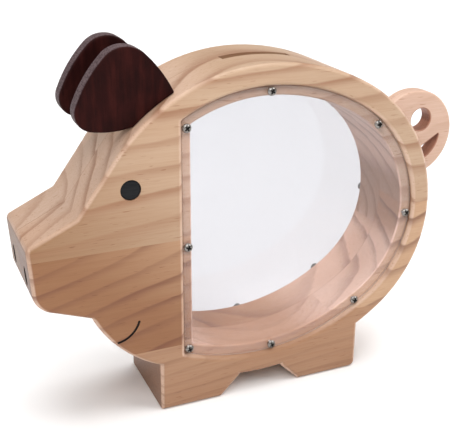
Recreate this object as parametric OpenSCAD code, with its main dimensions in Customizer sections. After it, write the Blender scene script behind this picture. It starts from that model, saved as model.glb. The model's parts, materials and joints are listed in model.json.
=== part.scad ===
// Pig-shaped wooden money box: two glued pine boards with a D-shaped chamber
// between two clear windows, two ears, a curled tail and a coin slot.
// The pig looks along -X and stands on Z = 0. Left and right are the pig's own.
// Outlines are drawn in side view, with x measured back from the front of the
// fore foot and y measured up from the ground.

/* [Boards] */
// Thickness of one board; two make the body
board_t = 19; // [16:0.5:22]
// Width of the wooden ring around the chamber
ring_w = 12; // [11:0.5:14]
// Where the flat front wall of the chamber stands
chamber_front = 13.8; // [13:0.2:18]
// Clearance of every glued fit
glue_gap = 0.05; // [0.02:0.01:0.1]

/* [Feet] */
// Length of the sole of the fore foot
fore_sole = 24.7; // [18:0.1:26]
// Front end of the sole of the hind foot
hind_sole_x = 58.1; // [54:0.1:62]
// Back of the hind foot
hind_back_x = 84.6; // [80:0.1:86]
// Height of the slant between a sole and the belly
sole_slant = 8; // [7:0.1:9]

/* [Windows] */
// Thickness of the clear plate
window_t = 2; // [1.5:0.1:2.5]
// Depth of the recess that a window lies in
recess_d = 3.5; // [3.3:0.1:4.5]
// Width of the ledge that a window rests on
ledge_w = 4; // [3.8:0.1:4.5]
// Gap between a window and the wall of its recess
window_gap = 0.3; // [0.2:0.05:0.5]
// Gap between the faces of pieces that come apart
face_gap = 0.03; // [0.02:0.01:0.05]

/* [Screws] */
// Diameter of the screw head
head_d = 3.4; // [3:0.1:3.4]
// Height of the screw head
head_h = 1.2; // [0.9:0.1:1.3]
// Diameter over the thread
thread_d = 1.9; // [1.7:0.1:1.9]
// Length under the head
screw_l = 10; // [8:0.5:12]
// Diameter of the pilot hole in the wood
pilot_d = 2; // [2:0.02:2.08]
// Diameter of the hole in the window
window_hole_d = 2.3; // [2.2:0.1:2.4]

/* [Coin slot] */
// Length of the slot
slot_l = 27; // [25.5:0.5:32]
// Width of the slot
slot_w = 4.4; // [4.2:0.1:4.8]
// Middle of the slot
slot_x = 45; // [42:0.5:48]

/* [Ears and tail] */
// Thickness of the ears and of the tail
plate_t = 6.4; // [5:0.1:7]
// Distance from the middle of the body to the outside of an ear
ear_out = 14.2; // [12:0.1:16]
// Radius of the tail's curl
tail_r = 17.8; // [17:0.1:18.5]
// Diameter of the dowels
dowel_d = 3; // [2.5:0.1:3.4]
// Length of the dowels
dowel_l = 12; // [10:0.5:13]

/* [Face] */
// Diameter of an eye
eye_d = 7.3; // [6:0.1:9]
// Depth of an eye plug
eye_depth = 5; // [3:0.5:8]
// Width of the mouth line
mouth_w = 0.9; // [0.6:0.1:1.2]
// Depth of the mouth line and of the nostrils
face_cut = 0.6; // [0.4:0.1:1]

/* [Hidden] */
$fn = 96;
side_names = ["left", "right"];
screw_count = 8;
dowel_count = 2;

pine = "burlywood";
stain = [0.25, 0.11, 0.10];
more = 1;                           // how far a cutter runs past what it cuts
tuck = 0.01;                        // how far a straight edge lies inside the round that ends it
cap_depth = 0.9;                    // a cap's lowest point, as a share of its chord's distance
cap_reach = 1.2;                    // how far a cap's sides run on past the disc, as a share

// Points and arcs
function polar(r, a) = r * [cos(a), sin(a)];
function angle_of(v) = atan2(v.y, v.x);
// Angle at the centre c of a circle at which the tangent from p touches it
function tangent_angle(c, r, p, way) = angle_of(p - c) + way * acos(r / norm(p - c));
// Angle of the outer tangent of two circles, on the left of the way from a to b
function belt_angle(a, ra, b, rb) = angle_of(b - a) + acos((ra - rb) / norm(b - a));
// Angle that a length along an arc takes up
function arc_angle(length, r) = length / r * 180 / PI;
// Radius at which an arc crosses its neighbour lap away from where they would touch
function proud(r, lap) = r + lap * lap / (2 * r);
// Centres of a chain of arcs that run smoothly into each other
function chain_centre(first, radii, turns, i) =
    i == 0 ? first
    : chain_centre(first, radii, turns, i - 1) + polar(radii[i - 1] - radii[i], turns[i]);

// Body: five arcs from under the belly, round the rump and over the back to the forehead.
// body_turns holds the angle where each arc starts, and where the last one ends.
body_first = [40.8, 95.4];
body_radii = [87.5, 52.5, 59, 84, 71];
body_turns = [-116, -53, 0, 59, 90, 145];
body_lap = 3;                       // how far neighbouring arcs run over each other
body_centres = [for (i = [0:4]) chain_centre(body_first, body_radii, body_turns, i)];
rump = 2;                           // the arc that the tail stands on
forehead = 4;                       // the arc that the ears stand on
// Head
nose_corner = [-43.4, 72.6];        // centre of the rounded top of the snout
nose_r = 2.5;
chin_corner = [-36, 58];            // centre of the rounded bottom of the snout
chin_r = 9;
brow = [-28, 82.8];                 // inner corner of the snout and the forehead
throat_c = [20.3, 64.8];
throat_r = 49.5;
throat_corner = throat_c + polar(throat_r - tuck, 204.4);
foot_top = 30;                      // how far up the feet run into the body
heel_r = 2.5;
// Window and screws
ledge_front = chamber_front - ledge_w;
rim_w = ring_w - ledge_w;
ledge_y = -(board_t - recess_d);    // plane of the left ledge
window_in = ledge_y - face_gap;     // inner face of the left window
window_out = window_in - window_t;  // outer face of the left window
head_y = window_out - face_gap;     // plane under the left screw heads
pilot_depth = screw_l - window_t;
front_screws = [110, 65.5, 23.8];   // heights of the screws in the straight edge
arc_screws = [[3, 89], [2, 47], [1, -3], [0, -57], [0, -86]];   // arc and angle
function screw_place(i) =
    i <= len(front_screws) ? [ledge_front + ledge_w / 2, front_screws[i - 1]]
    : on_body(arc_screws[i - 1 - len(front_screws)], rim_w + ledge_w / 2);
// Point on a body arc, moved in by inset; at holds the arc and the angle
function on_body(at, inset) = body_centres[at.x] + polar(body_radii[at.x] - inset, at.y);
// Screw head: its crown, and the cross cut into it
crown_r = head_d * 0.62;
cross_l = head_d * 0.6;
cross_w = head_d * 0.14;
cross_bottom = head_h * 0.35;
screw_turn = 37;                    // how much further each screw is turned than the last
// Thread
thread_pitch = 0.85;
thread_depth = 0.28;
core_r = thread_d / 2 - thread_depth;
tip_l = 1.6;
plain_l = 2.4;                      // from the head to the first full turn
shoulder_l = 0.5;                   // taper from the plain shank to the first turn
thread_turns = floor((screw_l - plain_l - tip_l) / thread_pitch);
// Ears: five arcs from the back of the ear over its tip to its overhanging lobe
ear_first = [-32.6, 102.4];
ear_radii = [46, 9.8, 47.5, 6.7, 32];
ear_turns = [15, 47, 135, 158, 258, 290];
ear_lap = 0.6;
ear_middle = 127;                   // where the middle of the ear's foot stands on the forehead arc
ear_dowel_step = 4;                 // degrees either side of ear_middle
ear_y = -ear_out + plate_t / 2;     // middle of the left ear
// Tail
tail_c = [115.5, 92.5];
tail_hole = [118.2, 98.3];
tail_hole_r = 4.6;
tail_slit_r = 12.1;                 // outer edge of the slit
tail_slit_tip = [127.3, 91.4];
tail_slit_slope = 31;               // slope of the slit's upper edge
tail_slit_x = 115.6;                // closed end of the slit
tail_dowels = [33, 21];             // where the dowels stand on the rump arc
// Face
eye_at = [-9.1, 90.8];
mouth_c = [-17.5, 43.1];
mouth_r = 10.1;
mouth_from = -80;
mouth_to = -17;
nostril_size = [4, 7.5];
nostril_at = [10.2, 61.5];          // from the middle of the snout, and up
nose_lean = belt_angle(chin_corner, chin_r, nose_corner, nose_r) - 180;
// Origin: under the middle of the overall length
snout_x = nose_corner.x - nose_r;
origin_x = (snout_x + tail_c.x + tail_r) / 2;

// ---- building blocks ----
// Moves what is drawn in side view to the origin of the part
module placed() { translate([-origin_x, 0, 0]) children(); }
// Plate between the planes y0 and y1 with its outline in side view
module plate(y0, y1) {
    translate([0, y1, 0]) rotate([90, 0, 0]) linear_extrude(y1 - y0) children();
}
// Makes a left piece, or its mirror image for the right
module on_side(side) {
    placed() if (side == "left") children(); else mirror([0, 1, 0]) children();
}
// Slice of a disc between two angles
module pie(c, r, from, to) {
    steps = 4;
    translate(c) intersection() {
        circle(r);
        polygon([[0, 0], for (k = [0:steps]) polar(2 * r, from + (to - from) * k / steps)]);
    }
}
// Part of a disc between two angles, down to a point below the middle of its chord
module cap(c, r, from, to) {
    half = (to - from) / 2;
    low = polar(cap_depth * r * cos(half), from + half);
    translate(c) intersection() {
        circle(r);
        polygon([low, low + cap_reach * (polar(r, from) - low), polar(2 * r, from + half),
            low + cap_reach * (polar(r, to) - low)]);
    }
}
// Filled outline of a chain of arcs, moved in by inset. Each arc stands proud a little,
// so that two neighbours cross cleanly instead of only touching.
module arc_chain(centres, radii, turns, lap, inset = 0) {
    last = len(radii) - 1;
    polygon([
        for (i = [0:last]) centres[i] + polar(radii[i] - inset - tuck, turns[i]),
        centres[last] + polar(radii[last] - inset - tuck, turns[last + 1])]);
    for (i = [0:last]) {
        r = radii[i] - inset;
        over = arc_angle(2 * lap, r);
        before = i > 0 && radii[i] < radii[i - 1] ? over : 0;
        after = i < last && radii[i] < radii[i + 1] ? over : 0;
        cap(centres[i], proud(r, lap), turns[i] - before, turns[i + 1] + after);
    }
}
module body_arcs(inset = 0) { arc_chain(body_centres, body_radii, body_turns, body_lap, inset); }

// ---- body ----
module snout_outline() {
    nose_a = belt_angle(chin_corner, chin_r, nose_corner, nose_r);
    top_a = tangent_angle(nose_corner, nose_r, brow, 1);
    under_a = tangent_angle(chin_corner, chin_r, throat_corner, -1);
    head_c = body_centres[forehead];
    head_r = body_radii[forehead];
    polygon([
        throat_c,
        head_c,
        head_c + polar(head_r - tuck, tangent_angle(head_c, head_r, brow, -1)),
        brow,
        nose_corner + polar(nose_r - tuck, top_a),
        nose_corner + polar(nose_r - tuck, nose_a),
        chin_corner + polar(chin_r - tuck, nose_a),
        chin_corner + polar(chin_r - tuck, under_a),
        throat_corner]);
    translate(chin_corner) circle(chin_r);
    translate(nose_corner) circle(nose_r);
}
module foot_outlines() {
    polygon([[0, 0], [fore_sole, 0], [fore_sole + sole_slant, sole_slant],
        [fore_sole + sole_slant, foot_top], [0, foot_top]]);
    polygon([[hind_sole_x, 0], [hind_back_x - heel_r, 0], [hind_back_x, heel_r],
        [hind_back_x, foot_top], [hind_sole_x - sole_slant, foot_top],
        [hind_sole_x - sole_slant, sole_slant]]);
    translate([hind_back_x - heel_r, heel_r]) circle(heel_r);
}
module body_outline() {
    body_arcs();
    snout_outline();
    foot_outlines();
    translate(throat_c) circle(throat_r);
}
// D-shaped opening with its flat side at x = front, moved in by inset
module d_outline(front, inset) {
    intersection() {
        body_arcs(inset);
        translate([front, 0]) square(2 * body_radii[0]);
    }
}
module mouth_cutter() {
    plate(-board_t - more, -board_t + face_cut) {
        intersection() {
            translate(mouth_c) difference() {
                circle(mouth_r + mouth_w / 2);
                circle(mouth_r - mouth_w / 2);
            }
            pie(mouth_c, 2 * mouth_r, mouth_from, mouth_to);
        }
        for (a = [mouth_from, mouth_to])
            translate(mouth_c + polar(mouth_r, a)) circle(mouth_w / 2 + 2 * tuck);
    }
}
// Upright slot with round ends, cut square to the leaning face of the snout
module nostril_cutter() {
    half = (nostril_size.y - nostril_size.x) / 2;
    face = nose_corner + polar(nose_r, 180 + nose_lean);
    drop = face.y - nostril_at.y;
    translate([face.x + drop * tan(nose_lean), -nostril_at.x, nostril_at.y])
        rotate([0, -90 - nose_lean, 0]) translate([0, 0, -face_cut]) {
            for (s = [-1, 1]) translate([s * half, 0, 0])
                cylinder(d = nostril_size.x, h = face_cut + more);
            translate([-half, -nostril_size.x / 2, 0])
                cube([2 * half, nostril_size.x, face_cut + more]);
        }
}
module slot_cutter() {
    translate([slot_x - slot_l / 2, -slot_w / 2, body_centres[forehead].y])
        cube([slot_l, slot_w, 2 * body_radii[forehead]]);
}
// Round hole or rod in the plane y, from depth below a body arc to height above it
module arc_rod(arc, a, y, d, depth, height) {
    foot = on_body([arc, a], depth);
    translate([foot.x, y, foot.y]) rotate([0, 90 - a, 0]) cylinder(d = d, h = depth + height);
}
module left_board() {
    color(pine) difference() {
        plate(-board_t, 0) body_outline();
        plate(-board_t - more, more) d_outline(chamber_front, ring_w);
        plate(-board_t - more, ledge_y) d_outline(ledge_front, rim_w);
        slot_cutter();
        for (i = [1:screw_count]) plate(ledge_y - more, ledge_y + pilot_depth)
            translate(screw_place(i)) circle(d = pilot_d);
        plate(-board_t - more, -board_t + eye_depth + glue_gap)
            translate(eye_at) circle(d = eye_d + 2 * glue_gap);
        mouth_cutter();
        nostril_cutter();
        for (s = [-1, 1]) arc_rod(forehead, ear_middle + s * ear_dowel_step, ear_y,
            dowel_d + 2 * glue_gap, dowel_l / 2 + glue_gap, more);
        for (a = tail_dowels) arc_rod(rump, a, 0, dowel_d + 2 * glue_gap,
            dowel_l / 2 + glue_gap, more);
    }
}

// ---- windows and their screws ----
module left_window() {
    color([0.8, 0.9, 0.95, 0.35]) plate(window_out, window_in) difference() {
        d_outline(ledge_front + window_gap, rim_w + window_gap);
        for (i = [1:screw_count]) translate(screw_place(i)) circle(d = window_hole_d);
    }
}
// Screw standing on z = 0 with its head up
module screw() {
    difference() {
        intersection() {
            cylinder(d = head_d, h = head_h);
            translate([0, 0, head_h - crown_r]) sphere(crown_r);
        }
        for (a = [0, 90]) rotate([0, 0, a])
            translate([-cross_l / 2, -cross_w / 2, cross_bottom]) cube([cross_l, cross_w, head_h]);
    }
    rotate_extrude() polygon(concat(
        [[0, more / 2], [core_r, more / 2], [core_r, 0], [thread_d / 2, 0],
            [thread_d / 2, shoulder_l - plain_l]],
        [for (i = [0:thread_turns - 1]) each [
            [core_r, -plain_l - i * thread_pitch],
            [thread_d / 2, -plain_l - (i + 0.5) * thread_pitch]]],
        [[core_r, tip_l - screw_l], [0, -screw_l]]));
}
module left_screw(i) {
    place = screw_place(i);
    color("silver") translate([place.x, head_y, place.y]) rotate([90, i * screw_turn, 0]) screw();
}

// ---- ears, tail and eyes ----
module left_ear() {
    centres = [for (i = [0:4]) chain_centre(ear_first, ear_radii, ear_turns, i)];
    color(stain) difference() {
        plate(ear_y - plate_t / 2, ear_y + plate_t / 2) difference() {
            arc_chain(centres, ear_radii, ear_turns, ear_lap);
            translate(body_centres[forehead])
                circle(proud(body_radii[forehead], body_lap) + glue_gap);
        }
        for (s = [-1, 1]) arc_rod(forehead, ear_middle + s * ear_dowel_step, ear_y,
            dowel_d + 2 * glue_gap, dowel_l / 2, dowel_l / 2 + glue_gap);
    }
}
module left_ear_dowel(i) {
    color("tan") arc_rod(forehead, ear_middle + (2 * i - 3) * ear_dowel_step, ear_y,
        dowel_d, dowel_l / 2, dowel_l / 2);
}
module tail_outline() {
    difference() {
        translate(tail_c) circle(tail_r);
        body_arcs(-glue_gap);
        translate(tail_hole) circle(tail_hole_r);
        intersection() {
            translate(tail_c) circle(tail_slit_r);
            translate(tail_slit_tip) rotate(tail_slit_slope) translate([-2 * tail_r, -tail_r])
                square([2 * tail_r, tail_r]);
            translate([tail_slit_x, tail_c.y - tail_r]) square(2 * tail_r);
        }
    }
}
module tail() {
    placed() color(pine) difference() {
        plate(-plate_t / 2, plate_t / 2) tail_outline();
        for (a = tail_dowels) arc_rod(rump, a, 0, dowel_d + 2 * glue_gap,
            dowel_l / 2, dowel_l / 2 + glue_gap);
    }
}
module tail_dowel(i) {
    placed() color("tan") arc_rod(rump, tail_dowels[i - 1], 0, dowel_d, dowel_l / 2, dowel_l / 2);
}
module left_eye() {
    color([0.05, 0.06, 0.08]) plate(-board_t, -board_t + eye_depth)
        translate(eye_at) circle(d = eye_d);
}

for (s = side_names) {
    on_side(s) left_board();
    on_side(s) left_window();
    on_side(s) left_ear();
    on_side(s) left_eye();
    for (i = [1:screw_count])
        on_side(s) left_screw(i);
    for (i = [1:dowel_count])
        on_side(s) left_ear_dowel(i);
}
tail();
for (i = [1:dowel_count])
    tail_dowel(i);
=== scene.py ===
"""Wooden pig money box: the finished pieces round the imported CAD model.

The boards, windows, ears, tail, eyes and screws are rebuilt from the outlines of the CAD
nodes, with rounded edges, and every piece gets a procedural material. Metres, +Z up.
"""
import json
import math

import bmesh
import bpy
from mathutils import Matrix, Vector

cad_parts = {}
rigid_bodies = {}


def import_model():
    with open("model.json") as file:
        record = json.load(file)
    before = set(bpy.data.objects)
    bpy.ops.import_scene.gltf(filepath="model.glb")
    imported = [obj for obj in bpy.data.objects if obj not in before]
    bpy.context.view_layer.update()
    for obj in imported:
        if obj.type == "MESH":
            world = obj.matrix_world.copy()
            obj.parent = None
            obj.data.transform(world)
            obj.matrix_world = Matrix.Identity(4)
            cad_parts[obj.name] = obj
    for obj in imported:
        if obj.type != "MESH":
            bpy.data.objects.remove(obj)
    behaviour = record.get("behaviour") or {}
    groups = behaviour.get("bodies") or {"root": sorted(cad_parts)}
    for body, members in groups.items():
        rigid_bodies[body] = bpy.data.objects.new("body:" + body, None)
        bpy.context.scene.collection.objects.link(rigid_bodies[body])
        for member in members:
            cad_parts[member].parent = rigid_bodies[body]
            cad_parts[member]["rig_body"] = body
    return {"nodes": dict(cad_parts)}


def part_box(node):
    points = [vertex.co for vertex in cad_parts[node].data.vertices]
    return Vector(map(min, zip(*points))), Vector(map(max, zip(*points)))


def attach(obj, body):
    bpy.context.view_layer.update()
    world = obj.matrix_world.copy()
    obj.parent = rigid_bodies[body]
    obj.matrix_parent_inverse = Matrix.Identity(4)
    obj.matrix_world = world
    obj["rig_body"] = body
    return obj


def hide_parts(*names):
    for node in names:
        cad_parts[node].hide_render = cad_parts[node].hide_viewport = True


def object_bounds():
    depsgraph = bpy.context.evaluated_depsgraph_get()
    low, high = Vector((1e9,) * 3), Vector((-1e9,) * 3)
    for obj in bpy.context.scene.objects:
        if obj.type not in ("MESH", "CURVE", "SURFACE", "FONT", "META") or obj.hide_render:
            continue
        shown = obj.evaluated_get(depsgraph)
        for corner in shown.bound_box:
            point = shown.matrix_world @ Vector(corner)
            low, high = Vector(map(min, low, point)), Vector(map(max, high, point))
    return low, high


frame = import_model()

CAD_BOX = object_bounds()
MM = 0.001
MICRON_DIGITS = 6                       # rounds metres to a thousandth of a millimetre
SIDES = {"left": -1, "right": 1}        # which way along Y each side faces
SCREW_COUNT = 8
DOWELS = (1, 2)                         # in the foot of each ear and in the root of the tail

# Rounds on the edges of faces
FACE_ROUND = 1.8 * MM                   # router round on the outer faces of the body
RECESS_ROUND = 1.9 * MM                 # round the recess of a window
LEDGE_ROUND = 0.8 * MM                  # from the ledge down into the chamber
SEAM = 0.07 * MM                        # tiny bevel of the glue seam
PLATE_ROUND = 0.9 * MM                  # ears and tail
TAIL_HOLE_ROUND = 0.45 * MM
PANE_EDGE = 0.12 * MM                   # eased edge of the acrylic
# Rounds on the corners of outlines
CORNER_EASE = 0.9 * MM                  # body, ears and tail
RECESS_EASE = 1.5 * MM                  # recess, window and chamber
TAIL_HOLE_EASE = 0.5 * MM

# Cuts in the wood
OVERRUN = 1 * MM                        # how far a cutter runs past what it cuts
GLUE_GAP = 0.05 * MM                    # round a dowel in its hole
FACE_GAP = 0.03 * MM                    # between a window and the ledge it lies on
NOSTRIL_SIZE = Vector((4.0, 7.5)) * MM
NOSTRIL_OUT = 10.2 * MM                 # from the middle of the snout
NOSTRIL_Z = 61.5 * MM
NOSTRIL_DEPTH = 0.9 * MM
MOUTH_DEPTH = 0.6 * MM
EYE_DEPTH = 5.05 * MM
EYE_CROWN = 0.25 * MM                   # how much the middle of an eye stands above its rim
EYE_RIM = 0.4 * MM                      # round on the rim of an eye
PILOT_RADIUS = 1 * MM
PILOT_SPARE = 0.4 * MM                  # how much deeper a pilot hole is than its screw
PANE_HOLE_RADIUS = 1.15 * MM            # clearance for the screws in a window

# Finding the slot and the snout in the CAD
ALONG_AXIS = 0.999                      # a normal with this much of an axis lies along it
SLOT_LEVEL = 0.8                        # share of the height above which the slot's walls stand
SLOT_REACH = 5 * MM                     # they stay this near the seam
SLOT_FOOT = 8 * MM                      # below the top of a window, in the open chamber
SNOUT_DEPTH = 8 * MM                    # the front of the snout lies this near its foremost point
SNOUT_LENGTH = 5 * MM                   # and is at least this long

# Screws
HEAD_RADIUS = 1.7 * MM
HEAD_HEIGHT = 1.2 * MM
HEAD_CROWN = 2.1 * MM                   # radius of the crown of the head
HEAD_UNDER = 0.86                       # share of the head's radius at its underside
HEAD_TOP = 0.9995                       # share of its height where it ends in a small flat
HEAD_ROWS = 16
HEAD_CROWDING = 1.6                     # the rows stand closer towards the top
CROSS_LENGTH = 2.5 * MM
CROSS_WIDTH = 0.72 * MM
CROSS_DEPTH = 0.75 * MM
CROSS_FOOT = 0.6                        # share of its size at the foot of the groove
CROSS_FLARE = 1.5                       # and where its cutter ends above the head
SCREW_LENGTH = 10 * MM
PLAIN_LENGTH = 2.4 * MM                 # of the shank, under the head
TIP_LENGTH = 1.6 * MM
TIP_SHARE = 0.03                        # of the radius is left at the point
THREAD_PITCH = 0.85 * MM
CORE_RADIUS = 0.67 * MM
THREAD_RADIUS = 0.95 * MM
THREAD_ROWS = 5                         # in one turn of the thread
LATHE_SEGMENTS = 30
SCREW_TURN = math.radians(37)           # each screw is turned this much further


# ---------------------------------------------------------------- outlines
CORNER = math.radians(24)               # a sharper turn than this is a corner
FINE_TURN = math.radians(2.5)           # a round stretch gets a point for each such turn
LONGEST_SAG = 0.06 * MM                 # a chord that would bulge by more is a straight edge
EASE_TURN = math.radians(12)            # steps of an eased corner
EASE_SHARE = 0.45                       # of an edge may go into the ease at one of its ends
IN_PLANE = 0.002 * MM                   # a face this near a plane lies in it
ONE_PLACE = 1e-7                        # corners this near each other are one
PLACE_DIGITS = 7                        # of metres, for matching corners


def turn_at(before, point, after):
    """How far an outline turns left at a point."""
    a, b = point - before, after - point
    return math.atan2(a.x * b.y - a.y * b.x, a.dot(b))


def flat_loops(node, y):
    """Closed outlines in X and Z of a CAD node's flat faces in the plane y, the widest first,
    each anticlockwise as seen from the left side."""
    mesh = frame["nodes"][node].data
    edges = set()
    for face in mesh.polygons:
        corners = [mesh.vertices[i].co for i in face.vertices]
        if any(abs(c.y - y) > IN_PLANE for c in corners):
            continue
        keys = [(round(c.x, PLACE_DIGITS), round(c.z, PLACE_DIGITS)) for c in corners]
        for a, b in zip(keys, keys[1:] + keys[:1]):
            if (b, a) in edges:
                edges.remove((b, a))
            elif a != b:
                edges.add((a, b))
    follows = dict(edges)
    loops = []
    while follows:
        start, point = follows.popitem()
        loop = [start]
        while point != start:
            loop.append(point)
            point = follows.pop(point)
        loops.append([Vector(p) for p in loop])
    for loop in loops:
        if area(loop) < 0:
            loop.reverse()
    return sorted(loops, key=lambda loop: -area(loop))


def area(loop):
    return sum(a.x * b.y - b.x * a.y for a, b in zip(loop, loop[1:] + loop[:1])) / 2


def refined(loop):
    """The outline with its round stretches as finer arcs."""
    n = len(loop)
    turns = [turn_at(loop[i - 1], loop[i], loop[(i + 1) % n]) for i in range(n)]
    fine = []
    for i in range(n):
        start, chord = loop[i], loop[(i + 1) % n] - loop[i]
        ends = [t for t in (turns[i], turns[(i + 1) % n]) if abs(t) < CORNER]
        bend = max(ends, key=abs) if ends else 0
        if len(ends) == 2 and ends[0] * ends[1] < 0 or chord.length * abs(bend) / 8 > LONGEST_SAG:
            bend = 0
        steps = math.ceil(abs(bend) / FINE_TURN)
        fine.append(start)
        if steps < 2:
            continue
        along = chord.normalized()
        left = Vector((-along.y, along.x))
        half = bend / 2
        radius = chord.length / (2 * math.sin(half))
        for k in range(1, steps):
            a = bend * k / steps - half
            fine.append(start + radius * ((math.sin(a) + math.sin(half)) * along
                                          + (math.cos(half) - math.cos(a)) * left))
    return fine


class Outline:
    """A closed outline that can be drawn at any distance inside itself, with eased corners."""

    def __init__(self, loop, ease=0.0):
        self.points = []                # (place, inward, how far it goes inward, inward after that)
        n = len(loop)
        for i, p in enumerate(loop):
            a, b = p - loop[i - 1], loop[(i + 1) % n] - p
            turn = turn_at(loop[i - 1], p, loop[(i + 1) % n])
            start = math.atan2(a.y, a.x) + math.pi / 2
            middle = start + turn / 2
            mitre = Vector((math.cos(middle), math.sin(middle))) / math.cos(turn / 2)
            room = EASE_SHARE * min(a.length, b.length) / max(abs(math.tan(turn / 2)), 1e-9)
            r = min(ease, room)
            if turn < CORNER or r <= 0:
                self.points.append((p, mitre, math.inf, mitre))
                continue
            steps = math.ceil(turn / EASE_TURN)
            for k in range(steps + 1):
                angle = start + turn * k / steps
                inward = Vector((math.cos(angle), math.sin(angle)))
                self.points.append((p + mitre * r - inward * r, inward, r, mitre))

    def at(self, inset):
        """Places at a distance inside the outline, or outside it if that is negative."""
        return [p + inward * min(inset, limit) + after * max(0, inset - limit)
                for p, inward, limit, after in self.points]


def ring(bm, outline, inset, y):
    """Corners of an outline in the plane y. Points that fall together share one."""
    verts = []
    for p in outline.at(inset):
        place = Vector((p.x, y, p.y))
        if verts and (verts[-1].co - place).length < ONE_PLACE:
            verts.append(verts[-1])
        else:
            verts.append(bm.verts.new(place))
    return verts


def bridge(bm, one, two):
    """Faces between two rings of equally many corners."""
    n = len(one)
    for i in range(n):
        j = (i + 1) % n
        corners = []
        for v in (one[i], one[j], two[j], two[i]):
            if v not in corners:
                corners.append(v)
        if len(corners) > 2:
            bm.faces.new(corners)


def wall(bm, outline, profile):
    """Skin along a profile of (inset, y) pairs. Returns its first and last ring."""
    rings = [ring(bm, outline, inset, y) for inset, y in profile]
    for one, two in zip(rings, rings[1:]):
        bridge(bm, one, two)
    return rings[0], rings[-1]


def fill(bm, *rings):
    """Flat face within the first ring and round the others."""
    edges = []
    for verts in rings:
        for a, b in zip(verts, verts[1:] + verts[:1]):
            if a is not b:
                edges.append(bm.edges.get((a, b)) or bm.edges.new((a, b)))
    bmesh.ops.triangle_fill(bm, use_beauty=True, use_dissolve=False, edges=edges)


def rounded(inset, y, into, radius, steps=6):
    """Quarter round from (inset, y) on a wall to the flat face radius further along y.
    into is 1 where the face lies inside the outline and -1 where it lies outside."""
    way = math.copysign(1, radius)
    radius = abs(radius)
    return [(inset + into * radius * (1 - math.cos(a)), y + way * radius * math.sin(a))
            for a in (math.pi / 2 * k / steps for k in range(steps + 1))]


def slab(bm, outer, holes, y0, y1, edge, hole_edge, steps=5, rim_material=0, hole_material=0):
    """Plate between two planes with rounded edges."""
    ends = [[], []]
    for outline, into, r in [(outer, 1, edge)] + [(h, -1, hole_edge) for h in holes]:
        known = set(bm.faces)
        first = rounded(0, y0 + r, into, -r, steps)
        last = rounded(0, y1 - r, into, r, steps)
        for end, verts in zip(ends, wall(bm, outline, first[::-1] + last)):
            end.append(verts)
        for face in set(bm.faces) - known:
            face.material_index = rim_material if outline is outer else hole_material
    for end in ends:
        fill(bm, *end)


# ---------------------------------------------------------------- pieces
def new_piece(name, bm, materials):
    """Object from a bmesh, put into the scene."""
    bmesh.ops.remove_doubles(bm, verts=bm.verts, dist=ONE_PLACE)
    bmesh.ops.recalc_face_normals(bm, faces=bm.faces)
    mesh = bpy.data.meshes.new(name)
    bm.to_mesh(mesh)
    bm.free()
    for material in materials:
        mesh.materials.append(material)
    piece = bpy.data.objects.new(name, mesh)
    bpy.context.scene.collection.objects.link(piece)
    return piece


def shade(piece, angle=32):
    """Smooth but for edges sharper than an angle in degrees, with flat faces kept flat."""
    piece.data.shade_smooth()
    piece.data.set_sharp_from_angle(angle=math.radians(angle))
    weighted = piece.modifiers.new("weighted", "WEIGHTED_NORMAL")
    weighted.keep_sharp = True
    weighted.weight = 80


def carve(piece, cutter):
    """Cuts the cutter out of the piece. The cut faces keep the cutter's materials."""
    cut = piece.modifiers.new("cut", "BOOLEAN")
    cut.operation = "DIFFERENCE"
    cut.solver = "EXACT"
    cut.object = cutter
    cut.material_mode = "TRANSFER"
    depsgraph = bpy.context.evaluated_depsgraph_get()
    carved = bpy.data.meshes.new_from_object(piece.evaluated_get(depsgraph))
    piece.modifiers.clear()
    old = piece.data
    carved.name = old.name
    piece.data = carved
    bpy.data.meshes.remove(old)
    bpy.data.objects.remove(cutter)


def give(piece, node):
    """The piece stands for a CAD node and rides on its body."""
    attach(piece, frame["nodes"][node]["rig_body"])
    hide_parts(node)
    return piece


def mirror_y(bm):
    bmesh.ops.transform(bm, matrix=Matrix.Scale(-1, 4, (0, 1, 0)), verts=bm.verts)


def circle(radius, centre, steps=48):
    """Outline in X and Z."""
    return [centre + radius * Vector((math.cos(a), math.sin(a)))
            for a in (math.tau * k / steps for k in range(steps))]


def centre_of(node):
    """Middle of a CAD node in X and Z."""
    low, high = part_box(node)
    return Vector(((low.x + high.x) / 2, (low.z + high.z) / 2))


def prism(bm, loop, y0, y1, material=0):
    """Plain solid of an outline between two planes, for cutting."""
    known = set(bm.faces)
    outline = Outline(loop)
    one, two = wall(bm, outline, [(0, y0), (0, y1)])
    fill(bm, one)
    fill(bm, two)
    for face in set(bm.faces) - known:
        face.material_index = material


def rod_of(node):
    """Middle, direction, length and radius of a CAD node that is a plain rod."""
    corners = [v.co for v in frame["nodes"][node].data.vertices]
    middle = sum(corners, Vector()) / len(corners)
    edge = max(corners, key=lambda c: (c - middle).length)
    opposite = 2 * middle - edge
    one_end = [c for c in corners if (c - edge).length < (c - opposite).length]
    end = sum(one_end, Vector()) / len(one_end)
    axis = (end - middle).normalized()
    return middle, axis, 2 * (end - middle).length, (edge - end).length


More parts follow.
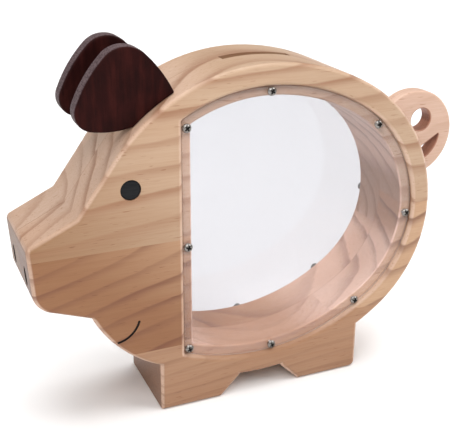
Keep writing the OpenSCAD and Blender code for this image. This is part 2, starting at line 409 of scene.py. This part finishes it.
# ---------------------------------------------------------------- materials
class Graph:
    """The node tree of a new material, written as expressions."""

    def __init__(self, name):
        self.material = bpy.data.materials.new(name)
        self.material.use_nodes = True
        self.tree = self.material.node_tree
        self.tree.nodes.clear()

    def node(self, kind, inputs, **settings):
        """New shader node. Its inputs are sockets to link or plain values."""
        made = self.tree.nodes.new("ShaderNode" + kind)
        for key, value in settings.items():
            setattr(made, key, value)
        for key, value in inputs.items():
            if isinstance(value, bpy.types.NodeSocket):
                self.tree.links.new(value, made.inputs[key])
            else:
                made.inputs[key].default_value = value
        return made

    def math(self, operation, *values):
        return self.node("Math", dict(enumerate(values)), operation=operation).outputs[0]

    def smooth(self, value, low, high, start=0.0, end=1.0):
        """Eased ramp from start, where value is low, to end, where it is high."""
        return self.node("MapRange", {"Value": value, "From Min": low, "From Max": high,
                                      "To Min": start, "To Max": end},
                         interpolation_type="SMOOTHSTEP").outputs[0]

    def mix(self, factor, a, b, blend="MIX"):
        made = self.node("Mix", {"Factor": factor}, data_type="RGBA", blend_type=blend)
        for socket, value in ((made.inputs[6], a), (made.inputs[7], b)):
            if isinstance(value, bpy.types.NodeSocket):
                self.tree.links.new(value, socket)
            else:
                socket.default_value = (*value, 1)
        return made.outputs[2]

    def millimetres(self, scale=(1, 1, 1)):
        """Place on the piece in mm, with each axis scaled."""
        place = self.node("TexCoord", {}).outputs["Object"]
        return self.node("VectorMath", {0: place, 1: [k / MM for k in scale]},
                         operation="MULTIPLY").outputs[0]

    def split(self, vector):
        """Its X, Y and Z."""
        return self.node("SeparateXYZ", {0: vector}).outputs

    def noise(self, vector, scale, detail=2.0, roughness=0.5):
        return self.node("TexNoise", {"Vector": vector, "Scale": scale, "Detail": detail,
                                      "Roughness": roughness}).outputs["Fac"]

    def facing(self, axis):
        """How much the surface faces along an axis of the piece, from 0 to 1."""
        normal = self.split(self.node("TexCoord", {}).outputs["Normal"])
        return self.math("ABSOLUTE", normal[axis])

    def bump(self, height, depth):
        return self.node("Bump", {"Height": height, "Distance": depth}).outputs[0]

    def surface(self, **inputs):
        """Principled shader. The inputs are written with _ for the spaces in their names."""
        names = {key: key.replace("_", " ") for key in inputs}
        return self.node("BsdfPrincipled", {names[k]: v for k, v in inputs.items()}).outputs[0]

    def finish(self, shader):
        self.node("OutputMaterial", {"Surface": shader})
        return self.material


# Lengths in mm. The fibres run along X.
UPPER_JOINT = 69.5                      # heights of the joints in the edge-glued boards
LOWER_JOINT = 27.0
RIGHT_SHIFT = 14.0                      # the joints of the right board stand this much lower
STRIP_APART = 170.0                     # how far apart in the tree the strips are taken
WANDER = 10.0                           # how far the rings wander off their circles
RIPPLE = 1.1                            # and how far they ripple
# Upper, middle and lower strip of a board: the pith beside it, how steeply that rises along X,
# the width of a ring, and how much the late wood shows.
STRIPS = {
    "pith_y": (34, 30, 60),
    "pith_z": (38, -46, -80),
    "rise": (0.075, 0.30, 0.06),
    "ring": (7.4, 7.6, 3.6),
    "late": (0.78, 1.00, 0.60),
}
HEART_WOOD = ((0.308, 0.172, 0.086), (0.262, 0.116, 0.046), (0.370, 0.204, 0.115))
SAP_WOOD = ((0.500, 0.345, 0.232), (0.530, 0.330, 0.200), (0.395, 0.214, 0.118))
LATE_WOOD = ((0.275, 0.116, 0.052), (0.155, 0.047, 0.019), (0.250, 0.118, 0.062))
SLANT_WOOD = (0.760, 0.555, 0.445)
SAP_LEAN = 0.9                          # sapwood lies upwards and, this much, backwards
SAP_FROM = -10                          # where it starts along that way
SAP_TO = 80


def pine(name, strips=STRIPS, heart=HEART_WOOD, sap=SAP_WOOD, late=LATE_WOOD, tint=(1, 1, 1)):
    """Lacquered pine, sawn from three strips that are glued edge to edge."""
    g = Graph(name)
    place = g.millimetres()
    x, y, z = g.split(place)
    right = g.math("GREATER_THAN", y, 0.0)
    height = g.math("MULTIPLY_ADD", right, RIGHT_SHIFT, z)
    below = [g.math("LESS_THAN", height, joint) for joint in (UPPER_JOINT, LOWER_JOINT)]

    def pick(values):
        """The value of the strip that a place lies in."""
        first, second, third = values
        value = g.math("MULTIPLY_ADD", below[0], second - first, first)
        return g.math("MULTIPLY_ADD", below[1], third - second, value)

    def pick_colour(colours):
        return g.mix(below[1], g.mix(below[0], colours[0], colours[1]), colours[2])

    # every strip comes from another place in the tree
    strip = g.math("ADD", g.math("ADD", *below), g.math("MULTIPLY", right, 5.0))
    moved = g.node("CombineXYZ", {0: g.math("MULTIPLY", strip, STRIP_APART)}).outputs[0]
    here = g.node("VectorMath", {0: place, 1: moved}, operation="ADD").outputs[0]

    def along_fibres(stretch):
        return g.node("VectorMath", {0: here, 1: (stretch, 1, 1)}, operation="MULTIPLY").outputs[0]

    # growth rings round a pith that lies nearly along X
    rise = pick(strips["rise"])
    across = g.math("SUBTRACT", y, pick(strips["pith_y"]))
    above = g.math("SUBTRACT", g.math("SUBTRACT", z, pick(strips["pith_z"])),
                   g.math("MULTIPLY", x, rise))
    distance = g.math("SQRT", g.math("ADD", g.math("MULTIPLY", across, across),
                                     g.math("MULTIPLY", above, above)))
    wander = g.noise(along_fibres(0.3), 0.035, 1.5)
    ripple = g.noise(along_fibres(0.12), 0.35, 2.0)
    distance = g.math("MULTIPLY_ADD", wander, WANDER, distance)
    distance = g.math("MULTIPLY_ADD", ripple, RIPPLE, distance)
    turns = g.math("DIVIDE", distance, pick(strips["ring"]))
    ring_number = g.math("FLOOR", turns)
    phase = g.math("FRACT", turns)
    # late wood comes in slowly through a ring and stops short, in some rings more than in others
    strength = g.node("TexWhiteNoise", {"W": g.math("MULTIPLY_ADD", strip, 31.7, ring_number)},
                      noise_dimensions="1D").outputs["Value"]
    fade = g.smooth(phase, 0.35, 0.90)
    edge = g.smooth(phase, 0.88, 0.98, 1.0, 0.0)
    late_share = g.math("MULTIPLY", g.math("POWER", fade, 1.9), edge)
    shown = g.math("MULTIPLY_ADD", strength, 0.5, 0.5)
    patchy = g.smooth(g.noise(along_fibres(0.25), 0.06, 1.0), 0.32, 0.58, 0.5, 1.0)
    late_share = g.math("MULTIPLY", g.math("MULTIPLY", late_share, shown),
                        g.math("MULTIPLY", patchy, pick(strips["late"])))
    towards_sap = g.smooth(g.math("MULTIPLY_ADD", x, SAP_LEAN, z), SAP_FROM, SAP_TO)
    early = g.mix(towards_sap, pick_colour(heart), pick_colour(sap))
    # cuts that slant across the fibres are pinker and paler
    slanting = g.math("MULTIPLY", g.smooth(g.facing(0), 0.15, 0.50),
                      g.smooth(g.facing(0), 0.93, 0.99, 1.0, 0.0))
    early = g.mix(g.math("MULTIPLY", slanting, 0.55), early, SLANT_WOOD)
    colour = g.mix(late_share, early, pick_colour(late))

    # broad drifts of tone, fine fibres and short dark resin canals
    drift = g.noise(along_fibres(0.3), 0.045, 2.0)
    colour = g.mix(g.smooth(drift, 0.35, 0.7), colour, (0.94, 0.88, 0.83), "MULTIPLY")
    fibres = g.noise(along_fibres(0.022), 1.5, 3.0, 0.65)
    colour = g.mix(g.smooth(fibres, 0.38, 0.66, 0.0, 0.45), colour, (0.90, 0.84, 0.79), "MULTIPLY")
    threads = g.noise(along_fibres(0.035), 3.6, 1.0)
    colour = g.mix(g.smooth(threads, 0.50, 0.75, 0.0, 0.35), colour, (0.85, 0.76, 0.68), "MULTIPLY")
    canals = g.smooth(g.noise(along_fibres(0.11), 1.9, 0.0), 0.735, 0.80)
    colour = g.mix(g.math("MULTIPLY", canals, 0.6), colour, (0.62, 0.44, 0.33), "MULTIPLY")

    # true end grain drinks more lacquer, and is browner
    end = g.smooth(g.facing(0), 0.90, 0.985)
    pores = g.noise(here, 2.6, 2.0)
    end_colour = g.mix(g.smooth(pores, 0.35, 0.65), (0.60, 0.52, 0.48), (0.78, 0.70, 0.66))
    colour = g.mix(end, colour, g.mix(1.0, colour, end_colour, "MULTIPLY"))
    # a thin line of glue between the two boards
    seam = g.smooth(g.math("ABSOLUTE", y), 0.08, 0.30, 0.35, 0.0)
    colour = g.mix(seam, colour, (0.62, 0.42, 0.32), "MULTIPLY")
    colour = g.mix(1.0, colour, tint, "MULTIPLY")

    roughness = g.smooth(g.math("ADD", fibres, g.math("MULTIPLY", late_share, -0.25)),
                         0.2, 0.8, 0.42, 0.56)
    relief = g.math("MULTIPLY_ADD", late_share, 0.5, g.math("MULTIPLY", fibres, -0.5))
    normal = g.bump(relief, 0.05 * MM)
    return g.finish(g.surface(Base_Color=colour, Roughness=roughness, Normal=normal,
                              Specular_IOR_Level=0.35, Coat_Weight=0.2, Coat_Roughness=0.32))


def stained_wood():
    """Dark stain: the faces are nearly black-brown, the cut edges take it unevenly."""
    g = Graph("dark_stained_wood")
    streaks = g.noise(g.millimetres((1, 1, 0.10)), 0.55, 3.0, 0.6)
    mottle = g.noise(g.millimetres((1, 1, 0.6)), 0.16, 2.0, 0.5)
    fine = g.noise(g.millimetres((1, 1, 0.05)), 2.8, 1.0)
    face = g.mix(g.smooth(streaks, 0.35, 0.70), (0.0190, 0.0022, 0.0018), (0.0320, 0.0050, 0.0038))
    face = g.mix(g.smooth(mottle, 0.35, 0.65), face, (0.62, 0.55, 0.55), "MULTIPLY")
    face = g.mix(g.smooth(fine, 0.55, 0.75, 0.0, 0.5), face, (0.55, 0.50, 0.50), "MULTIPLY")
    scratches = g.noise(g.millimetres((1, 0.25, 1)), 2.2, 3.0, 0.7)
    cut = g.mix(g.smooth(scratches, 0.34, 0.66), (0.060, 0.037, 0.039), (0.145, 0.102, 0.106))
    on_face = g.smooth(g.facing(1), 0.25, 0.80)
    colour = g.mix(on_face, cut, face)
    roughness = g.smooth(streaks, 0.2, 0.8, 0.52, 0.66)
    return g.finish(g.surface(Base_Color=colour, Roughness=roughness,
                              Normal=g.bump(streaks, 0.06 * MM), Specular_IOR_Level=0.08))


def scorched():
    """Burnt-in line: almost black, with char of uneven depth."""
    g = Graph("scorched_wood")
    char = g.noise(g.millimetres(), 2.4, 3.0, 0.6)
    colour = g.mix(g.smooth(char, 0.3, 0.7), (0.010, 0.008, 0.008), (0.034, 0.022, 0.018))
    return g.finish(g.surface(Base_Color=colour, Roughness=g.smooth(char, 0.2, 0.8, 0.6, 0.85),
                              Normal=g.bump(char, 0.05 * MM), Specular_IOR_Level=0.25))


def black_paint():
    g = Graph("black_eye_paint")
    grain = g.noise(g.millimetres((0.1, 1, 1)), 1.8, 2.0)
    colour = g.mix(g.smooth(grain, 0.3, 0.7), (0.0070, 0.0075, 0.0085), (0.0130, 0.0135, 0.0150))
    return g.finish(g.surface(Base_Color=colour, Roughness=g.smooth(grain, 0.2, 0.8, 0.38, 0.52),
                              Normal=g.bump(grain, 0.02 * MM), Specular_IOR_Level=0.12))


def acrylic():
    """Plate with a few faint hairline marks, tinted grey so that all seen through it is darker,
    which is painted shade. It lets the lamps through.
    """
    g = Graph("clear_acrylic_plate")
    marks = g.noise(g.millimetres((0.12, 1, 1)), 0.9, 4.0, 0.7)
    # the grey base colour darkens the view through the windows: painted shade
    glass = g.node("BsdfPrincipled", {
        "Base Color": (0.800, 0.797, 0.816, 1), "IOR": 1.49, "Transmission Weight": 1.0,
        "Roughness": g.smooth(marks, 0.45, 0.75, 0.0, 0.035)}).outputs[0]
    clear = g.node("BsdfTransparent", {"Color": (0.985, 0.985, 0.99, 1)}).outputs[0]
    shadow = g.node("LightPath", {}).outputs["Is Shadow Ray"]
    return g.finish(g.node("MixShader", {0: shadow, 1: glass, 2: clear}).outputs[0])


def sawn_acrylic():
    """The sawn rim of a plate: half frosted, with fine saw marks. Its frosted part is painted the
    brown of the wood round it, a painted reflection of that wood.
    """
    g = Graph("sawn_acrylic_edge")
    marks = g.noise(g.millimetres((1, 0.1, 1)), 2.5, 2.0)
    # brown of the wood next to the rim: painted reflection
    colour = g.mix(g.smooth(marks, 0.3, 0.7), (0.62, 0.46, 0.36), (0.50, 0.37, 0.29))
    frosted = g.surface(Base_Color=colour, Roughness=g.smooth(marks, 0.2, 0.8, 0.35, 0.6),
                        Normal=g.bump(marks, 0.03 * MM))
    clear = g.node("BsdfTransparent", {"Color": (0.95, 0.92, 0.90, 1)}).outputs[0]
    return g.finish(g.node("MixShader", {0: 0.3, 1: clear, 2: frosted}).outputs[0])


def steel(name, bright, dull):
    g = Graph(name)
    scuffs = g.noise(g.millimetres((1, 1, 0.3)), 6.0, 3.0, 0.6)
    colour = g.mix(g.smooth(scuffs, 0.35, 0.7), bright, dull)
    return g.finish(g.surface(Base_Color=colour, Metallic=1.0,
                              Roughness=g.smooth(scuffs, 0.25, 0.75, 0.20, 0.38),
                              Normal=g.bump(scuffs, 0.01 * MM)))


def beech():
    """Pale dowel wood with small dark flecks."""
    g = Graph("beech_dowel")
    rays = g.noise(g.millimetres((1, 1, 0.15)), 2.2, 2.0)
    colour = g.mix(g.smooth(rays, 0.35, 0.7), (0.56, 0.37, 0.23), (0.40, 0.235, 0.135))
    return g.finish(g.surface(Base_Color=colour, Roughness=g.smooth(rays, 0.2, 0.8, 0.55, 0.7),
                              Normal=g.bump(rays, 0.03 * MM), Specular_IOR_Level=0.3))


# One strip only, on edge: the tail is cut from a plain, pinkish offcut.
TAIL_STRIPS = {"pith_y": (70,) * 3, "pith_z": (40,) * 3, "rise": (0.35,) * 3,
               "ring": (5.2,) * 3, "late": (0.3,) * 3}
TAIL_EARLY = ((0.66, 0.46, 0.36),) * 3
TAIL_LATE = ((0.47, 0.27, 0.18),) * 3

PINE = pine("lacquered_pine")
# Unlacquered pine for the ledges and the chamber. It is paler than the lacquered wood, and tinted
# paler still to make up for the light the chamber lacks: painted light.
RAW_PINE_PAINTED_LIGHTER = pine("raw_pine", {**STRIPS, "late": (0.75, 0.85, 0.60)}, tint=(1.42, 1.40, 1.50))
TAIL_PINE = pine("tail_pine", TAIL_STRIPS, TAIL_EARLY, TAIL_EARLY, TAIL_LATE)
# the walls of the holes in the tail are darker and redder than its faces and its outer rim
TAIL_HOLE_WALLS = pine("tail_cut_edge", TAIL_STRIPS, TAIL_EARLY, TAIL_EARLY, TAIL_LATE,
                tint=(0.62, 0.44, 0.38))
STAINED = stained_wood()
BURNT = scorched()
EYE_BLACK = black_paint()
ACRYLIC_PAINTED_SHADE = acrylic()
SAWN_EDGE_PAINTED_REFLECTION = sawn_acrylic()
STEEL = steel("nickel_plated_steel", (0.33, 0.31, 0.29), (0.15, 0.14, 0.13))
# near-black steel for the walls of the cross in each screw head: painted shade in the recess
STEEL_PAINTED_SHADE = steel("unpolished_steel", (0.030, 0.027, 0.025), (0.014, 0.012, 0.011))
DOWEL = beech()
BOARD_MATERIALS = [PINE, BURNT, RAW_PINE_PAINTED_LIGHTER]
SCREW_MATERIALS = [STEEL, STEEL_PAINTED_SHADE]


# ---------------------------------------------------------------- body, windows, ears, tail
def make_board(side):
    """Half of the body, with its recess and its half of the chamber."""
    node = f"{side}_board"
    low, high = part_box(node)
    face_y = low.y if side == "left" else high.y
    window_y = min(abs(v.co.y) for v in frame["nodes"][f"{side}_window"].data.vertices)
    ledge_y = math.copysign(round(window_y - FACE_GAP, MICRON_DIGITS), face_y)
    loops = [refined(loop) for loop in flat_loops(node, face_y)]
    body, recess, eye_hole, mouth = loops[:4]
    chamber = refined(flat_loops(node, ledge_y)[1])
    outer = Outline(body, CORNER_EASE)
    recess = Outline(recess, RECESS_EASE)
    chamber = Outline(chamber, RECESS_EASE)

    # everything is made on the left, where Y is negative
    face_y, ledge_y = -abs(face_y), -abs(ledge_y)
    bm = bmesh.new()
    seam = [(SEAM, 0), (0, -SEAM)]
    skin = wall(bm, outer, seam + rounded(0, face_y + FACE_ROUND, 1, -FACE_ROUND, steps=8))
    rim = rounded(0, face_y + RECESS_ROUND, -1, -RECESS_ROUND)[::-1]
    well = wall(bm, recess, rim + [(0, ledge_y)])
    fill(bm, skin[1], well[0])
    lacquered = set(bm.faces)
    lip = rounded(0, ledge_y + LEDGE_ROUND, -1, -LEDGE_ROUND, steps=3)[::-1]
    inner = wall(bm, chamber, lip + [(0, 0)])
    fill(bm, well[1], inner[0])
    # the ledge, its lip and the chamber walls get the raw pine, with its painted light
    for face in set(bm.faces) - lacquered:
        face.material_index = BOARD_MATERIALS.index(RAW_PINE_PAINTED_LIGHTER)
    fill(bm, inner[1], skin[0])
    if side == "right":
        mirror_y(bm)
    board = new_piece(f"{side}_half", bm, BOARD_MATERIALS)
    carve(board, board_cutter(side, face_y, eye_hole, mouth))
    shade(board)
    return give(board, node)


def board_cutter(side, face_y, eye_hole, mouth):
    """Everything that is cut into a finished half of the body."""
    bm = bmesh.new()
    prism(bm, eye_hole, face_y - OVERRUN, face_y + EYE_DEPTH)
    prism(bm, mouth, face_y - OVERRUN, face_y + MOUTH_DEPTH, BOARD_MATERIALS.index(BURNT))
    for i in range(1, SCREW_COUNT + 1):
        screw = f"left_screw_{i}"
        hole = circle(PILOT_RADIUS, centre_of(screw), steps=24)
        prism(bm, hole, face_y + OVERRUN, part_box(screw)[1].y + PILOT_SPARE)
    slot_low, slot_high = slot_box()
    bmesh.ops.create_cube(bm, size=1, matrix=Matrix.Translation((slot_low + slot_high) / 2)
                          @ Matrix.Diagonal((*(slot_high - slot_low), 1)))
    nostril_cutter(bm)
    if side == "right":
        mirror_y(bm)
    for i in DOWELS:
        rod_cutter(bm, f"{side}_ear_dowel_{i}")
        rod_cutter(bm, f"tail_dowel_{i}")
    return new_piece("cutter", bm, BOARD_MATERIALS)


def rod_cutter(bm, node):
    """Hole for a dowel."""
    middle, axis, length, radius = rod_of(node)
    segments = 32
    # half a segment round, so that no corner of a tail dowel lies in the plane of the seam
    turn = (axis.to_track_quat("Z", "Y").to_matrix().to_4x4()
            @ Matrix.Rotation(math.pi / segments, 4, "Z"))
    bmesh.ops.create_cone(bm, cap_ends=True, segments=segments, radius1=radius + GLUE_GAP,
                          radius2=radius + GLUE_GAP, depth=length + 2 * GLUE_GAP,
                          matrix=Matrix.Translation(middle) @ turn)


def slot_box():
    """Lowest and highest corner of the coin slot, from its end walls in the CAD: those stand
    across X, high up, and run from the seam to the sides of the slot."""
    board = frame["nodes"]["left_board"].data
    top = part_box("left_board")[1].z
    ends = set()
    half_width = 0
    for face in board.polygons:
        corners = [board.vertices[i].co for i in face.vertices]
        out, inner = min(c.y for c in corners), max(c.y for c in corners)
        across = abs(face.normal.x) > ALONG_AXIS
        high_up = min(c.z for c in corners) > SLOT_LEVEL * top
        if across and high_up and inner > -IN_PLANE and out > -SLOT_REACH:
            ends.update(round(c.x, MICRON_DIGITS) for c in corners)
            half_width = max(half_width, -out)
    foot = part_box("left_window")[1].z - SLOT_FOOT
    return (Vector((min(ends), -half_width, foot)),
            Vector((max(ends), half_width, top + OVERRUN)))


def nostril_cutter(bm):
    """Long bowl cut into the leaning front of the snout."""
    lower, upper = snout_line()
    lean = (lower - upper).normalized()
    out = Vector((-lean.y, 0, lean.x))
    if out.x > 0:
        out.negate()
    at = upper.lerp(lower, (NOSTRIL_Z - upper.y) / (lower.y - upper.y))
    axes = Matrix((Vector((0, 1, 0)), Vector((lean.x, 0, lean.y)), out)).transposed()
    place = Matrix.Translation(Vector((at.x, -NOSTRIL_OUT, at.y))) @ axes.to_4x4()
    size = Matrix.Diagonal((NOSTRIL_SIZE.x / 2, NOSTRIL_SIZE.y / 2, NOSTRIL_DEPTH, 1))
    made = bmesh.ops.create_uvsphere(bm, u_segments=32, v_segments=16, radius=1,
                                     matrix=place @ size)
    for face in {f for v in made["verts"] for f in v.link_faces}:
        face.material_index = BOARD_MATERIALS.index(BURNT)


def snout_line():
    """Lower and upper end of the straight front of the snout, in X and Z."""
    loop = flat_loops("left_board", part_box("left_board")[0].y)[0]
    reach = min(p.x for p in loop)
    pairs = [(a, b) for a, b in zip(loop, loop[1:] + loop[:1])
             if min(a.x, b.x) < reach + SNOUT_DEPTH and (a - b).length > SNOUT_LENGTH
             and abs(a.y - b.y) > abs(a.x - b.x)]
    a, b = max(pairs, key=lambda pair: (pair[0] - pair[1]).length)
    return (a, b) if a.y < b.y else (b, a)


def make_window(side):
    """Clear plate with a hole for each screw."""
    node = f"{side}_window"
    low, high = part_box(node)
    loops = flat_loops(node, low.y)
    outer = Outline(refined(loops[0]), RECESS_EASE)
    holes = [Outline(circle(PANE_HOLE_RADIUS, sum(hole, Vector((0, 0))) / len(hole)))
             for hole in loops[1:]]
    bm = bmesh.new()
    # the rim of the plate carries the painted reflection of the wood
    slab(bm, outer, holes, low.y, high.y, PANE_EDGE, PANE_EDGE, steps=3, rim_material=1)
    pane = new_piece(f"{side}_pane", bm, [ACRYLIC_PAINTED_SHADE, SAWN_EDGE_PAINTED_REFLECTION])
    shade(pane)
    return give(pane, node)


def dowel_holes(plate, stem, material):
    """Cuts the holes for the dowels of an ear or the tail."""
    cutter = bmesh.new()
    for i in DOWELS:
        rod_cutter(cutter, f"{stem}_{i}")
    carve(plate, new_piece("cutter", cutter, [material]))


def make_ear(side):
    node = f"{side}_ear"
    low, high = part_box(node)
    outline = Outline(refined(flat_loops(node, low.y)[0]), CORNER_EASE)
    bm = bmesh.new()
    slab(bm, outline, [], low.y, high.y, PLATE_ROUND, 0)
    ear = new_piece(f"{side}_ear_plate", bm, [STAINED])
    dowel_holes(ear, f"{side}_ear_dowel", STAINED)
    shade(ear)
    return give(ear, node)


def make_tail():
    low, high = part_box("tail")
    loops = [refined(loop) for loop in flat_loops("tail", low.y)]
    outer = Outline(loops[0], CORNER_EASE)
    holes = [Outline(loop, TAIL_HOLE_EASE) for loop in loops[1:]]
    bm = bmesh.new()
    slab(bm, outer, holes, low.y, high.y, PLATE_ROUND, TAIL_HOLE_ROUND, hole_material=1)
    tail = new_piece("curled_tail", bm, [TAIL_PINE, TAIL_HOLE_WALLS])
    dowel_holes(tail, "tail_dowel", TAIL_PINE)
    shade(tail)
    return give(tail, "tail")


def make_eye(side):
    """Plug with an eased rim and a slightly crowned face."""
    node = f"{side}_eye"
    low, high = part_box(node)
    radius = (high.x - low.x) / 2
    outline = Outline(circle(radius, centre_of(node), steps=64))
    face_y, back_y = -max(abs(low.y), abs(high.y)), -min(abs(low.y), abs(high.y))
    rows = 8                            # the rim takes the place of the first two
    crown = [(radius * k / rows, face_y + EYE_CROWN * (1 - k / rows) ** 2)
             for k in range(2, rows)]
    bm = bmesh.new()
    rim = rounded(0, face_y + EYE_CROWN + EYE_RIM, 1, -EYE_RIM, steps=4)
    first, last = wall(bm, outline, [(0, back_y)] + rim + crown)
    fill(bm, first)
    fill(bm, last)
    if side == "right":
        mirror_y(bm)
    eye = new_piece(f"{side}_eye_plug", bm, [EYE_BLACK])
    shade(eye)
    return give(eye, node)


# ---------------------------------------------------------------- screws
def lathe(bm, levels, segments):
    """Turned solid through (radius_at, height) levels. radius_at(height, angle) may wind, as a
    thread does."""
    rings = []
    for radius_at, height in levels:
        angles = [math.tau * k / segments for k in range(segments)]
        rings.append([bm.verts.new((radius_at(height, a) * math.cos(a),
                                    radius_at(height, a) * math.sin(a), height)) for a in angles])
    for one, two in zip(rings, rings[1:]):
        bridge(bm, one, two)
    bm.faces.new(rings[0])
    bm.faces.new(rings[-1])


def head_radius(height, _):
    """Head with a narrower underside and a crowned top. It is the same at every angle."""
    rise = height - HEAD_HEIGHT + HEAD_CROWN
    under = min(1.0, HEAD_UNDER + height / HEAD_HEIGHT)
    return min(HEAD_RADIUS * under, math.sqrt(HEAD_CROWN ** 2 - rise ** 2))


def thread_radius(height, angle):
    """Shank with its thread and its point; height runs down from 0."""
    phase = (height / THREAD_PITCH + angle / math.tau) % 1
    crest = CORE_RADIUS + (THREAD_RADIUS - CORE_RADIUS) * (1 - abs(2 * phase - 1))
    into_thread = min(1, max(0, (-height - PLAIN_LENGTH) / THREAD_PITCH))
    radius = THREAD_RADIUS + (crest - THREAD_RADIUS) * into_thread
    left_over = SCREW_LENGTH + height
    return radius * min(1, max(TIP_SHARE, left_over / TIP_LENGTH))


def screw_mesh():
    """One screw along Z with the underside of its head at 0."""
    bm = bmesh.new()
    rows = math.ceil(SCREW_LENGTH / THREAD_PITCH * THREAD_ROWS)
    shank = [(thread_radius, -SCREW_LENGTH * k / rows) for k in range(rows, -1, -1)]
    rises = [1 - (1 - k / HEAD_ROWS) ** HEAD_CROWDING for k in range(HEAD_ROWS)] + [HEAD_TOP]
    lathe(bm, shank + [(head_radius, HEAD_HEIGHT * rise) for rise in rises], LATHE_SEGMENTS)
    screw = new_piece("screw", bm, SCREW_MATERIALS)
    groove = bmesh.new()
    rings = []
    for height, share in ((HEAD_HEIGHT - CROSS_DEPTH, CROSS_FOOT),
                          (HEAD_HEIGHT + OVERRUN, CROSS_FLARE)):
        reach, side = CROSS_LENGTH / 2 * share, CROSS_WIDTH / 2 * share
        arm = [Vector(p) for p in ((reach, -side), (reach, side), (side, side))]
        cross = [Matrix.Rotation(quarter * math.pi / 2, 2) @ p for quarter in range(4) for p in arm]
        rings.append([groove.verts.new((*p, height)) for p in cross])
    bridge(groove, *rings)
    for ring_verts in rings:
        groove.faces.new(ring_verts)
    # the walls of the cross are near-black: painted shade
    for face in groove.faces:
        face.material_index = SCREW_MATERIALS.index(STEEL_PAINTED_SHADE)
    carve(screw, new_piece("cutter", groove, SCREW_MATERIALS))
    shade(screw, angle=40)
    mesh = screw.data
    bpy.data.objects.remove(screw)
    return mesh


def make_screw(side, i, mesh):
    node = f"{side}_screw_{i}"
    low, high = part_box(node)
    way = SIDES[side]
    centre = centre_of(node)
    head_top = low.y if way < 0 else high.y
    screw = bpy.data.objects.new(f"{side}_window_screw_{i}", mesh)
    bpy.context.scene.collection.objects.link(screw)
    place = Vector((centre.x, head_top - way * HEAD_HEIGHT, centre.y))
    screw.matrix_world = (Matrix.Translation(place)
                          @ Matrix.Rotation(-way * math.pi / 2, 4, "X")
                          @ Matrix.Rotation(i * SCREW_TURN, 4, "Z"))
    return give(screw, node)


# ---------------------------------------------------------------- the whole money box
screw = screw_mesh()
for side in SIDES:
    make_board(side)
    make_window(side)
    make_ear(side)
    make_eye(side)
    for i in range(1, SCREW_COUNT + 1):
        make_screw(side, i, screw)
make_tail()
for name, node in frame["nodes"].items():
    if "dowel" in name:
        node.data.materials.clear()
        node.data.materials.append(DOWEL)


# ---------------------------------------------------------------- studio
CAMERA_AT = Vector((-131.9, -287.3, 193.5)) * MM
LENS = 67.62                            # mm, for a sensor 36 mm wide
YAW = math.radians(23.51)               # towards +X
PITCH = math.radians(21.89)             # down
ROLL = math.radians(0.455)


def floor():
    """White table top, far wider than the view."""
    bm = bmesh.new()
    half = 40.0
    bmesh.ops.create_grid(bm, x_segments=2, y_segments=2, size=half)
    g = Graph("white_floor")
    cloud = g.noise(g.millimetres(), 0.002, 2.0)
    colour = g.mix(g.smooth(cloud, 0.3, 0.7), (0.97, 0.97, 0.97), (0.98, 0.98, 0.98))
    material = g.finish(g.surface(Base_Color=colour, Roughness=0.9, Specular_IOR_Level=0.1))
    plane = new_piece("floor", bm, [material])


def sun(name, strength, azimuth, elevation, softness):
    """Soft light from far away. Azimuth 0 is from the front, where Y is negative; + is right."""
    light = bpy.data.lights.new(name, "SUN")
    light.energy = strength
    light.angle = math.radians(softness)
    lamp = bpy.data.objects.new(name, light)
    a, e = math.radians(azimuth), math.radians(elevation)
    source = Vector((math.sin(a) * math.cos(e), -math.cos(a) * math.cos(e), math.sin(e)))
    lamp.rotation_euler = source.to_track_quat("Z", "Y").to_euler()
    bpy.context.scene.collection.objects.link(lamp)


def softbox(name, power, place, size):
    """Square lamp that faces the middle of the money box."""
    light = bpy.data.lights.new(name, "AREA")
    light.energy = power
    light.size = size
    lamp = bpy.data.objects.new(name, light)
    middle = (CAD_BOX[0] + CAD_BOX[1]) / 2
    lamp.location = place
    lamp.rotation_euler = (place - middle).to_track_quat("Z", "Y").to_euler()
    bpy.context.scene.collection.objects.link(lamp)


def surroundings(strength, backdrop_strength):
    """Even white light from all round, and a plain white backdrop where the camera looks past
    the floor."""
    world = bpy.data.worlds.new("studio")
    world.use_nodes = True
    tree = world.node_tree
    light = tree.nodes["Background"]
    light.inputs["Color"].default_value = (1, 1, 1, 1)
    light.inputs["Strength"].default_value = strength
    backdrop = tree.nodes.new("ShaderNodeBackground")
    backdrop.inputs["Color"].default_value = (1, 1, 1, 1)
    backdrop.inputs["Strength"].default_value = backdrop_strength
    seen = tree.nodes.new("ShaderNodeLightPath")
    both = tree.nodes.new("ShaderNodeMixShader")
    tree.links.new(seen.outputs["Is Camera Ray"], both.inputs[0])
    tree.links.new(light.outputs[0], both.inputs[1])
    tree.links.new(backdrop.outputs[0], both.inputs[2])
    tree.links.new(both.outputs[0], tree.nodes["World Output"].inputs["Surface"])
    bpy.context.scene.world = world


def camera():
    data = bpy.data.cameras.new("camera")
    data.sensor_fit = "HORIZONTAL"
    data.sensor_width = 36
    data.lens = LENS
    data.clip_start = 0.01
    forward = Vector((math.sin(YAW) * math.cos(PITCH), math.cos(YAW) * math.cos(PITCH),
                      -math.sin(PITCH)))
    level = forward.cross(Vector((0, 0, 1))).normalized()
    upright = level.cross(forward)
    right = math.cos(ROLL) * level + math.sin(ROLL) * upright
    up = -math.sin(ROLL) * level + math.cos(ROLL) * upright
    turn = Matrix((right, up, -forward)).transposed().to_4x4()
    holder = bpy.data.objects.new("camera", data)
    holder.matrix_world = Matrix.Translation(CAMERA_AT) @ turn
    bpy.context.scene.collection.objects.link(holder)
    bpy.context.scene.camera = holder


floor()
sun("top", strength=2.35, azimuth=130, elevation=81, softness=50)
sun("fill", strength=1.05, azimuth=60, elevation=36, softness=30)
softbox("front", power=1.04, place=Vector((-175, -320, 400)) * MM, size=0.30)
surroundings(strength=0.31, backdrop_strength=1.1)
camera()
bpy.context.scene.view_settings.view_transform = "Standard"
